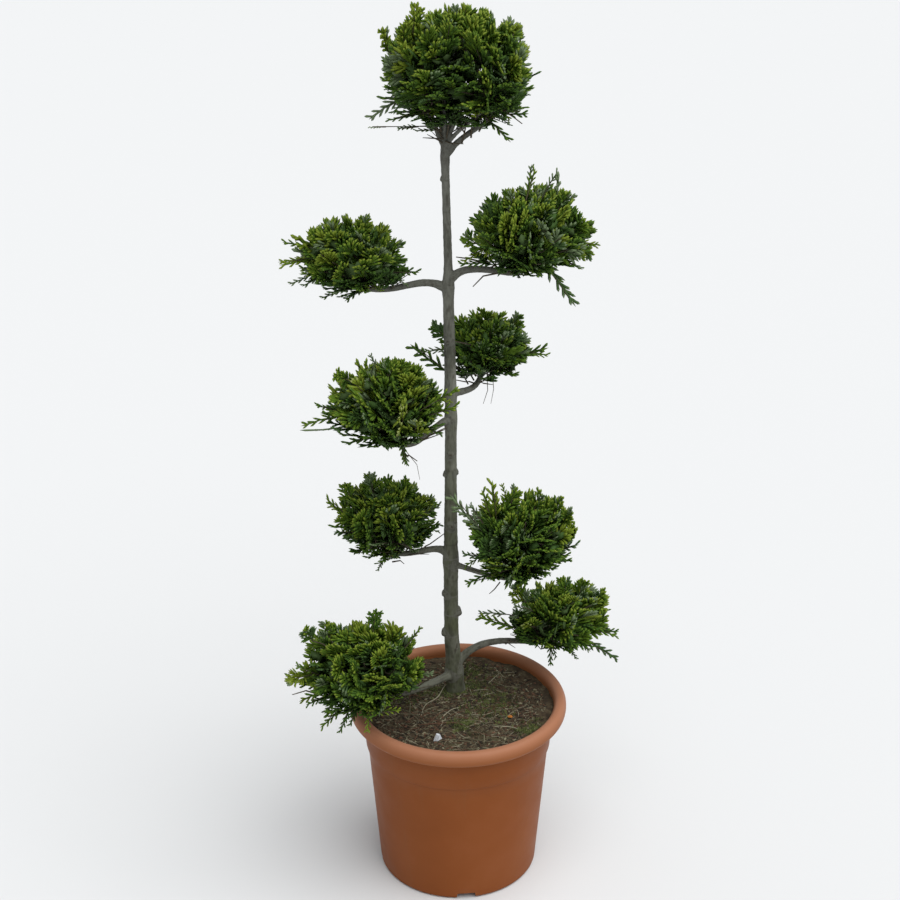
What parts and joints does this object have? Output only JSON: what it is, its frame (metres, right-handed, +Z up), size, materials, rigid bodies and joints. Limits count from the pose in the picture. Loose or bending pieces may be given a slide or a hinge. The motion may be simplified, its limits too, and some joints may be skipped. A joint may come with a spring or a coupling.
{
  "type": "potted leyland cypress",
  "caption": "Leyland cypress trained as a pom-pom tree: clipped foliage balls on a slim trunk and short boughs, standing in a round flared patio pot filled with soil.",
  "frame": {"origin": "centre of the pot's flat underside, on the ground", "axes": "+Z up along the pot's axis, the front seen in the picture faces -Y, +X to the viewer's right"},
  "size_m": [0.5805, 0.4077, 1.518],
  "materials": {
    "terracotta_plastic": "matte, terracotta-coloured moulded plastic",
    "earth": "loose dark potting soil with litter and moss",
    "bark": "thin grey-brown bark",
    "needles": "dense dull green scale-leaf sprays"
  },
  "bodies": {
    "root": {"pot": "terracotta_plastic", "soil": "earth", "trunk": "bark", "crown_fork_bough": "bark", "high_left_bough": "bark", "high_right_bough": "bark", "mid_back_bough": "bark", "mid_front_bough": "bark", "low_left_bough": "bark", "low_right_bough": "bark", "rim_right_bough": "bark", "rim_left_bough": "bark", "crown_foliage": "needles", "high_left_foliage": "needles", "high_right_foliage": "needles", "mid_back_foliage": "needles", "mid_front_foliage": "needles", "low_left_foliage": "needles", "low_right_foliage": "needles", "rim_right_foliage": "needles", "rim_left_foliage": "needles"}
  },
  "joints": []
}
